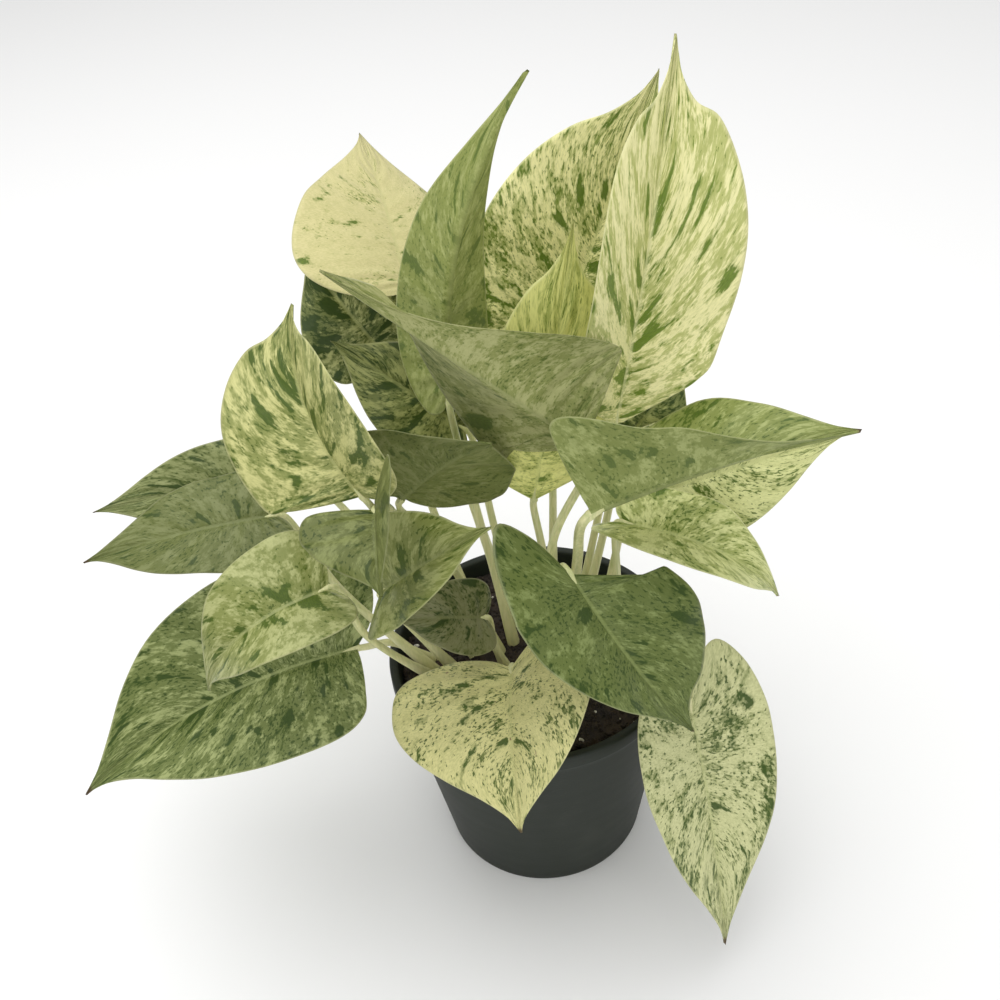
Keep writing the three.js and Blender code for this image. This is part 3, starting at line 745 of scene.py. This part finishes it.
def stem_finish():
    """Pale woody vine stub with brown scars."""
    f = Finish("vine_stem")
    place = f.place()
    cloud = f.noise(place, 260.0, 4.0, 0.6)
    scar = f.noise(place, 900.0, 3.0, 0.6)
    colour = f.mix(cloud.step(0.4, 0.7), linear("#cfc6a0"), linear("#a99c72"))
    colour = f.mix(scar.step(0.6, 0.72) * 0.7, colour, linear("#5f4a34"))
    f.bump(cloud + scar * 0.5, 0.0005, 0.7)
    return f.set(Base_Color=colour, Roughness=0.55 + cloud * 0.2)


def pot_finish(tone):
    """Moulded dark green-grey plastic with dust, fine scuffs and soil marks near the lip."""
    f = Finish("pot_plastic")
    place = f.place()
    x, y, z = f.split(place)
    cloud = f.noise(place, 28.0, 4.0, 0.6)
    pores = f.noise(place, 1500.0, 2.0, 0.5)
    scuff = f.noise(f.join(x * 260, y * 260, z * 1400), 1.0, 3.0, 0.6)
    dust = cloud.step(0.5, 0.85) * 0.12 + scuff.step(0.62, 0.75) * 0.10
    lip = z.step(0.097, 0.1045)
    crumbs = f.noise(place, 520.0, 4.0, 0.7).step(0.6, 0.68) * lip
    colour = f.mix(dust, tone, (0.16, 0.16, 0.14))
    colour = f.mix(crumbs * 0.7, colour, (0.05, 0.035, 0.022))
    f.bump(pores * 0.5 + scuff * 0.5 + cloud, 0.00012, 0.5)
    return f.set(Base_Color=colour, Roughness=0.50 + cloud * 0.14 + crumbs * 0.3, Specular_IOR_Level=0.3)


def peat_finish(tone):
    """Dark moist peat."""
    f = Finish("peat")
    place = f.place()
    cloud = f.noise(place, 180.0, 4.0, 0.65)
    fine = f.noise(place, 1400.0, 3.0, 0.7)
    colour = f.mix(cloud.step(0.35, 0.7), tone, blend(tone, (0.075, 0.05, 0.032), 0.6))
    colour = f.mix(fine.step(0.6, 0.75) * 0.5, colour, (0.10, 0.072, 0.048))
    f.bump(fine + cloud * 0.6, 0.0006, 0.9)
    return f.set(Base_Color=colour, Roughness=0.86 + (cloud - 0.5) * 0.2)


def perlite_finish():
    """Chalky white perlite."""
    f = Finish("perlite")
    pits = f.noise(f.place(), 1600.0, 3.0, 0.6)
    colour = f.mix(pits.step(0.5, 0.7), linear("#dcd8cb"), linear("#8f8674"))
    f.bump(pits, 0.0004, 0.8)
    return f.set(Base_Color=colour, Roughness=0.9)


# ---- geometry recipes ----

def stalk_recipe():
    """Round stalk with a channel along one side, swept on a line of points."""
    r = Recipe("Grooved stalk", {
        "Sides": "NodeSocketInt", "Groove": "NodeSocketFloat", "Skin": "NodeSocketMaterial"})
    path = r.add("GeometryNodeMeshToCurve", None, {"Mesh": r.given["Geometry"]})
    girth = r.add("GeometryNodeInputNamedAttribute", dict(data_type="FLOAT"), {"Name": "girth"})
    ring = r.add("GeometryNodeCurvePrimitiveCircle", dict(mode="RADIUS"),
                 {"Resolution": r.given["Sides"], "Radius": 1.0})
    place = r.add("GeometryNodeInputPosition")
    parts = r.add("ShaderNodeSeparateXYZ", None, [place.outputs[0]])
    drop = Wire(r, parts.outputs["Y"]).step(0.75, 1.0) * r.given["Groove"] * -1.0
    offset = r.add("ShaderNodeCombineXYZ", None, {"Y": drop})
    grooved = r.add("GeometryNodeSetPosition", None,
                    {"Geometry": ring.outputs[0], "Offset": offset.outputs[0]})
    body = r.add("GeometryNodeCurveToMesh", None,
                 {"Curve": path.outputs[0], "Profile Curve": grooved.outputs[0],
                  "Scale": girth.outputs["Attribute"], "Fill Caps": True})
    shaded = r.add("GeometryNodeSetShadeSmooth", None, {"Geometry": body.outputs[0]})
    r.end(shaded.outputs[0])
    return r


def grain_recipe():
    """Loose grains scattered over a surface."""
    r = Recipe("Loose grains", {
        "Density": "NodeSocketFloat", "Seed": "NodeSocketInt", "Smallest": "NodeSocketFloat",
        "Largest": "NodeSocketFloat", "Roughness": "NodeSocketFloat", "Skin": "NodeSocketMaterial"})
    points = r.add("GeometryNodeDistributePointsOnFaces", dict(distribute_method="RANDOM"),
                   {"Mesh": r.given["Geometry"], "Density": r.given["Density"], "Seed": r.given["Seed"]})
    ball = r.add("GeometryNodeMeshIcoSphere", None, {"Radius": 1.0, "Subdivisions": 2})
    lumps = r.add("ShaderNodeTexNoise", None, {"Scale": 1.3, "Detail": 1.0})
    centred = r.add("ShaderNodeVectorMath", dict(operation="SUBTRACT"),
                    [lumps.outputs["Color"], (0.5, 0.5, 0.5)])
    scaled = r.add("ShaderNodeVectorMath", dict(operation="SCALE"),
                   {"Vector": centred.outputs[0], "Scale": r.given["Roughness"]})
    lumpy = r.add("GeometryNodeSetPosition", None,
                  {"Geometry": ball.outputs["Mesh"], "Offset": scaled.outputs[0]})
    turn = r.add("FunctionNodeRandomValue", dict(data_type="FLOAT_VECTOR"),
                 {0: (0.0, 0.0, 0.0), 1: (6.28, 6.28, 6.28), "Seed": r.given["Seed"]})
    size = r.add("FunctionNodeRandomValue", dict(data_type="FLOAT"),
                 {2: r.given["Smallest"], 3: r.given["Largest"], "Seed": 4})
    stretch = r.add("FunctionNodeRandomValue", dict(data_type="FLOAT_VECTOR"),
                    {0: (0.6, 0.6, 0.5), 1: (1.5, 1.0, 0.9), "Seed": 9})
    scale = r.add("ShaderNodeVectorMath", dict(operation="SCALE"),
                  {"Vector": stretch.outputs[0], "Scale": size.outputs[1]})
    placed = r.add("GeometryNodeInstanceOnPoints", None,
                   {"Points": points.outputs["Points"], "Instance": lumpy.outputs[0],
                    "Rotation": turn.outputs[0], "Scale": scale.outputs[0]})
    r.end(placed.outputs[0])
    return r


def soil_height(x, y):
    inward = 1 - (x * x + y * y) / SOIL_RADIUS**2
    turn = 2 * math.pi / SOIL_WAVELENGTH
    hollows = math.sin(turn * x + 1) * math.cos(turn * y * 0.8 - 0.4)
    return SOIL_EDGE_Z + SOIL_MOUND * inward + SOIL_BUMP * hollows * inward


def spline(knots, count):
    """Points along a smooth line through the knots."""
    knots = [Vector(k) for k in knots]
    ends = [knots[0] * 2 - knots[1]] + knots + [knots[-1] * 2 - knots[-2]]
    times = [0.0]
    for a, b in zip(ends, ends[1:]):
        times.append(times[-1] + max((b - a).length, 1e-6) ** 0.5)
    result = []
    for step in range(count + 1):
        t = times[1] + (times[-2] - times[1]) * step / count
        i = max(k for k in range(1, len(knots)) if times[k] <= t + 1e-9)
        p, q = ends[i - 1:i + 3], times[i - 1:i + 3]
        a = [p[j].lerp(p[j + 1], (t - q[j]) / (q[j + 1] - q[j])) for j in range(3)]
        b = [a[j].lerp(a[j + 1], (t - q[j]) / (q[j + 2] - q[j])) for j in range(2)]
        result.append(b[0].lerp(b[1], (t - q[1]) / (q[2] - q[1])))
    return result


def path_mesh(name, points, girths):
    mesh = bpy.data.meshes.new(name)
    mesh.from_pydata([tuple(p * MM) for p in points], [(i, i + 1) for i in range(len(points) - 1)], [])
    layer = mesh.attributes.new("girth", "FLOAT", "POINT")
    layer.data.foreach_set("value", [g * MM for g in girths])
    return mesh


# ---- operators ----

class POTHOS_OT_pot(bpy.types.Operator):
    """Build the round nursery pot"""

    bl_idname = "pothos.pot"
    bl_label = "Pot"

    def execute(self, context):
        settings = context.scene.pothos_pot
        rim, height = POT_HIGH.x / MM, POT_HIGH.z / MM
        lip_z = height - RIM_DROP
        inner = rim - RIM_WIDTH
        line = settings.ring_height / MM

        def side(z):
            return FOOT_RADIUS + (rim - LIP_STEP - FOOT_RADIUS) * (z - 1) / (lip_z - 1)

        outline = [(PAD_RADIUS - 0.4, 0), (PAD_RADIUS, 0.3), (PAD_RADIUS + 1, FLOOR_Z),
                   (FOOT_RADIUS - FOOT_WIDTH, FLOOR_Z), (FOOT_RADIUS - FOOT_WIDTH + 0.4, 0.6),
                   (FOOT_RADIUS - FOOT_WIDTH + 1, 0), (FOOT_RADIUS - 1, 0), (FOOT_RADIUS - 0.3, 0.3)]
        for step in range(41):
            z = 1 + (lip_z - 2.4) * step / 40
            outline.append((side(z) + line * math.sin(z * LINE_TURN), z))
        outline += [(side(lip_z) + 0.1, lip_z - 0.8), (rim - 0.55, lip_z - 0.1), (rim - 0.12, lip_z + 0.35),
                    (rim, lip_z + 1.0), (rim, lip_z + 3.5), (rim, height - 1.1), (rim - 0.2, height - 0.45),
                    (rim - 0.6, height - 0.1), (rim - 1.1, height), (inner + 0.9, height - 0.25),
                    (inner + 0.3, height - 0.6), (inner, height - 1.1), (inner - 0.25, height - 3.0),
                    (inner - INNER_STEP, lip_z), (FOOT_RADIUS - WALL + 0.4, FLOOR_Z + FLOOR_THICKNESS + 1.2),
                    (FOOT_RADIUS - WALL - 1, FLOOR_Z + FLOOR_THICKNESS)]
        steps = settings.turned_steps
        points, faces = [], []
        for radius, z in outline:
            points += ring_points(radius, z, steps)
        for row in range(len(outline) - 1):
            faces += band(row * steps, (row + 1) * steps, steps)
        # floor with its ring of drainage holes
        mesh = plain_mesh("pot", points, faces)
        self.close_floor(mesh, steps, len(outline) - 1)
        smooth(mesh)
        mesh.materials.append(pot_finish(tuple(settings.plastic)))
        piece = new_piece("pot_body", mesh)
        self.drill(context, piece)
        settle(piece, "pot_plastic", "pot")
        return {"FINISHED"}

    def close_floor(self, mesh, steps, last):
        """Flat floor, below and above."""
        bm = bmesh.new()
        bm.from_mesh(mesh)
        bm.verts.ensure_lookup_table()
        bm.faces.new([bm.verts[k] for k in reversed(range(steps))])
        bm.faces.new([bm.verts[last * steps + k] for k in range(steps)])
        bmesh.ops.recalc_face_normals(bm, faces=bm.faces[:])
        bm.to_mesh(mesh)
        bm.free()

    def drill(self, context, piece):
        points, faces = [], []
        low, high, sides = FLOOR_Z - 1.5, FLOOR_Z + FLOOR_THICKNESS + 1.5, 32
        for hole in range(DRAIN_HOLES):
            turn = 2 * math.pi * (hole + 0.5) / DRAIN_HOLES
            start = len(points)
            x, y = DRAIN_RING * math.cos(turn), DRAIN_RING * math.sin(turn)
            for z in (low, high):
                points += ring_points(DRAIN_RADIUS, z, sides, x, y)
            faces += band(start, start + sides, sides)
            faces.append(tuple(start + k for k in reversed(range(sides))))
            faces.append(tuple(start + sides + k for k in range(sides)))
        drills = new_piece("drills", plain_mesh("drills", points, faces))
        cut = piece.modifiers.new("Drain holes", "BOOLEAN")
        cut.object = drills
        cut.operation = "DIFFERENCE"
        cut.solver = "EXACT"
        graph = context.evaluated_depsgraph_get()
        mesh = bpy.data.meshes.new_from_object(piece.evaluated_get(graph), depsgraph=graph)
        piece.modifiers.clear()
        piece.data = mesh
        bpy.data.objects.remove(drills, do_unlink=True)


class POTHOS_OT_soil(bpy.types.Operator):
    """Build the potting mix with its crumbs and perlite"""

    bl_idname = "pothos.soil"
    bl_label = "Potting mix"

    def execute(self, context):
        settings = context.scene.pothos_soil
        bottom_z = FLOOR_Z + FLOOR_THICKNESS + GAP
        rings, steps = SOIL_RINGS, SOIL_STEPS
        points = [Vector((0, 0, soil_height(0, 0))) * MM]
        faces = []
        for ring in range(1, rings + 1):
            radius = SOIL_RADIUS * ring / rings
            for k in range(steps):
                turn = 2 * math.pi * k / steps
                x, y = radius * math.cos(turn), radius * math.sin(turn)
                z = soil_height(x, y)
                z += 0.7 * noise.noise(Vector((x * 0.35, y * 0.35, 1.0)))
                z += 0.5 * noise.noise(Vector((x * 1.1, y * 1.1, 5.0)))
                z += 2.0 * max(0.0, radius / SOIL_RADIUS - 0.93) * noise.noise(Vector((turn * 6, 0, 9)))
                points.append(Vector((x, y, z)) * MM)
        for k in range(steps):
            n = (k + 1) % steps
            faces.append((0, 1 + k, 1 + n))
            for ring in range(rings - 1):
                low, high = 1 + ring * steps, 1 + (ring + 1) * steps
                faces.append((low + k, high + k, high + n, low + n))
        top = smooth(plain_mesh("soil_top", points, faces))
        closed_points = list(points)
        closed_faces = list(faces)
        last = 1 + (rings - 1) * steps
        low = len(closed_points)
        closed_points += ring_points(FOOT_RADIUS - WALL - 1.4, bottom_z, steps)
        for k in range(steps):
            n = (k + 1) % steps
            closed_faces.append((last + k, low + k, low + n, last + n))
        closed_faces.append(tuple(low + k for k in reversed(range(steps))))
        body = smooth(plain_mesh("soil_body", closed_points, closed_faces))
        peat = peat_finish(tuple(settings.peat))
        body.materials.append(peat)
        settle(new_piece("soil_body", body), "potting_mix", "soil")
        recipe = grain_recipe()
        kinds = (
            ("peat_crumbs", settings.crumbs, 3, 0.00035, 0.0011, 1.1, peat),
            ("peat_lumps", settings.crumbs * 0.035, 8, 0.0012, 0.0024, 1.2, peat),
            ("perlite_grains", settings.perlite, 5, 0.0004, 0.0012, 0.8, perlite_finish()),
        )
        for name, density, seed, smallest, largest, rough, skin in kinds:
            piece = recipe.apply(name, top.copy(), {
                "Density": density, "Seed": seed, "Smallest": smallest, "Largest": largest,
                "Roughness": rough, "Skin": skin})
            settle(piece, "potting_mix")
        return {"FINISHED"}


class POTHOS_OT_stems(bpy.types.Operator):
    """Build the stubs of the rooted vines"""

    bl_idname = "pothos.stems"
    bl_label = "Vine stubs"

    def execute(self, context):
        skin = stem_finish()
        sides = 28
        for number, (name, stem) in enumerate(STEMS.items()):
            root = (*stem["root"], soil_height(*stem["root"]) - ROOT_DEPTH)
            line = spline([root, stem["bend"], stem["top"]], 30)
            points, faces = [], []
            across = Vector((1, 0, 0))
            for i, centre in enumerate(line):
                ahead = line[min(i + 1, len(line) - 1)] - line[max(i - 1, 0)]
                ahead.normalize()
                across = (across - ahead * across.dot(ahead)).normalized()
                other = ahead.cross(across)
                share = i / (len(line) - 1)
                node_ring = STEM_RING * math.exp(-((share - 0.62) / 0.05) ** 2)
                end = math.sqrt(max(0.0, 1 - max(0.0, (share - 0.9) / 0.1) ** 2)) if share > 0.9 else 1.0
                radius = STEM_RADIUS * (1 - STEM_TAPER * share + node_ring) * (0.25 + 0.75 * end)
                for k in range(sides):
                    turn = 2 * math.pi * k / sides
                    out = across * math.cos(turn) + other * math.sin(turn)
                    lump = 1 + 0.08 * noise.noise(out * 1.7 + Vector((0, 0, share * 5 + number * 9)))
                    points.append((centre + out * radius * lump) * MM)
            for i in range(len(line) - 1):
                faces += band(i * sides, (i + 1) * sides, sides)
            faces.append(tuple(reversed(range(sides))))
            faces.append(tuple((len(line) - 1) * sides + k for k in range(sides)))
            mesh = smooth(plain_mesh(name, points, faces))
            mesh.materials.append(skin)
            settle(new_piece(name + "_stub", mesh), "vine_stem", name)
        return {"FINISHED"}


class POTHOS_OT_leaves(bpy.types.Operator):
    """Build the marbled leaf blades"""

    bl_idname = "pothos.leaves"
    bl_label = "Leaf blades"

    def execute(self, context):
        settings = context.scene.pothos_leaf
        for number, (name, leaf) in enumerate(LEAVES.items()):
            mesh = blade_mesh("blade_" + name, leaf, number + 1, settings)
            mesh.materials.append(blade_finish("blade_" + name, leaf["look"], settings))
            settle(new_piece("blade_" + name, mesh), "leaf_blade", "leaf_" + name)
        return {"FINISHED"}


class POTHOS_OT_stalks(bpy.types.Operator):
    """Build the grooved leaf stalks"""

    bl_idname = "pothos.stalks"
    bl_label = "Leaf stalks"

    def execute(self, context):
        settings = context.scene.pothos_stalk
        recipe = stalk_recipe()
        skin = stalk_finish("leaf_stalk", tuple(settings.tone))
        for name, leaf in LEAVES.items():
            foot = (*leaf["root"], soil_height(*leaf["root"]) - ROOT_DEPTH)
            point, tangent, up, _ = midrib_frame(leaf, 0.0)
            end = point - up * (leaf["stalk"] * 0.45)
            knee = end - tangent * 3.0 - up * 1.2
            line = spline([foot, leaf["bend"], knee, end], 44)
            inner, _, inner_up, _ = midrib_frame(leaf, 0.05)
            line.append(inner - inner_up * 0.9)
            count = len(line) - 1
            girths = []
            for i in range(count + 1):
                share = i / count
                sheath = STALK_SHEATH * math.exp(-(share / 0.16) ** 2)
                swell = STALK_SWELL * math.exp(-((share - 0.96) / 0.03) ** 2)
                thick = 1 - STALK_TAPER * share + sheath + swell
                girths.append(leaf["stalk"] * thick)
            girths[-1] = leaf["stalk"] * 0.28
            piece = recipe.apply("petiole_" + name, path_mesh("path", line, girths),
                                 {"Sides": 24, "Groove": settings.groove, "Skin": skin})
            settle(piece, "leaf_stalk", "stalk_" + name)
        return {"FINISHED"}


class POTHOS_OT_studio(bpy.types.Operator):
    """Set the floor, lights and camera"""

    bl_idname = "pothos.studio"
    bl_label = "Studio"

    def execute(self, context):
        settings = context.scene.pothos_studio
        size = FLOOR_SIZE
        floor = new_piece("floor", plain_mesh("floor", [
            (-size, -size, 0), (size, -size, 0), (size, size, 0), (-size, size, 0)], [(0, 1, 2, 3)]))
        f = Finish("floor")
        floor.data.materials.append(f.set(Base_Color=tuple(settings.floor), Roughness=0.9))
        world = bpy.data.worlds.new("Studio")
        world.use_nodes = True
        background = world.node_tree.nodes["Background"]
        background.inputs["Color"].default_value = (1.0, 1.0, 1.0, 1.0)
        background.inputs["Strength"].default_value = settings.fill
        context.scene.world = world
        for name, place, width, share in LIGHTS:
            lamp = bpy.data.lights.new(name, "AREA")
            lamp.shape = "SQUARE"
            lamp.size = width
            lamp.energy = settings.key * share
            holder = new_piece(name, lamp)
            holder.location = place
            aim = Vector(LIGHT_AIM) - Vector(place)
            holder.rotation_euler = aim.to_track_quat("-Z", "Y").to_euler()
        camera_data = bpy.data.cameras.new("camera")
        camera_data.sensor_width = SENSOR_WIDTH
        camera_data.lens = CAMERA_LENS
        camera = new_piece("camera", camera_data)
        tilt, roll = math.radians(CAMERA_TILT), math.radians(CAMERA_ROLL)
        ahead = Vector((0, math.cos(tilt), -math.sin(tilt)))
        above = Vector((0, math.sin(tilt), math.cos(tilt)))
        right = Vector((1, 0, 0))
        turned_right = right * math.cos(roll) - above * math.sin(roll)
        turned_above = right * math.sin(roll) + above * math.cos(roll)
        turn = Matrix((turned_right, turned_above, -ahead)).transposed()
        camera.matrix_world = Matrix.Translation(Vector(CAMERA_PLACE) * MM) @ turn.to_4x4()
        context.scene.camera = camera
        context.scene.view_settings.view_transform = "Standard"
        return {"FINISHED"}


class POTHOS_PT_panel(bpy.types.Panel):
    """Pothos pieces"""

    bl_idname = "POTHOS_PT_panel"
    bl_label = "Pothos"
    bl_space_type = "VIEW_3D"
    bl_region_type = "UI"
    bl_category = "Pothos"

    def draw(self, context):
        for operator in OPERATORS:
            self.layout.operator(operator.bl_idname)
        for name, group in SETTINGS.items():
            box = self.layout.box()
            box.label(text=name)
            for key in group.__annotations__:
                box.prop(getattr(context.scene, name), key)


SETTINGS = {
    "pothos_pot": PotSettings,
    "pothos_soil": SoilSettings,
    "pothos_leaf": LeafSettings,
    "pothos_stalk": StalkSettings,
    "pothos_studio": StudioSettings,
}
OPERATORS = (
    POTHOS_OT_pot, POTHOS_OT_soil, POTHOS_OT_stems, POTHOS_OT_leaves, POTHOS_OT_stalks,
    POTHOS_OT_studio)


def register():
    for name, group in SETTINGS.items():
        bpy.utils.register_class(group)
        setattr(bpy.types.Scene, name, bpy.props.PointerProperty(type=group))
    for cls in (*OPERATORS, POTHOS_PT_panel):
        bpy.utils.register_class(cls)


def unregister():
    for cls in (POTHOS_PT_panel, *reversed(OPERATORS)):
        bpy.utils.unregister_class(cls)
    for name, group in reversed(SETTINGS.items()):
        delattr(bpy.types.Scene, name)
        bpy.utils.unregister_class(group)


for entry in LEAVES.values():
    for key, value in LEAF_USUAL.items():
        entry.setdefault(key, value)


def main():
    register()
    for operator in OPERATORS:
        group, name = operator.bl_idname.split(".")
        getattr(getattr(bpy.ops, group), name)()


if __name__ == "__main__":
    main()
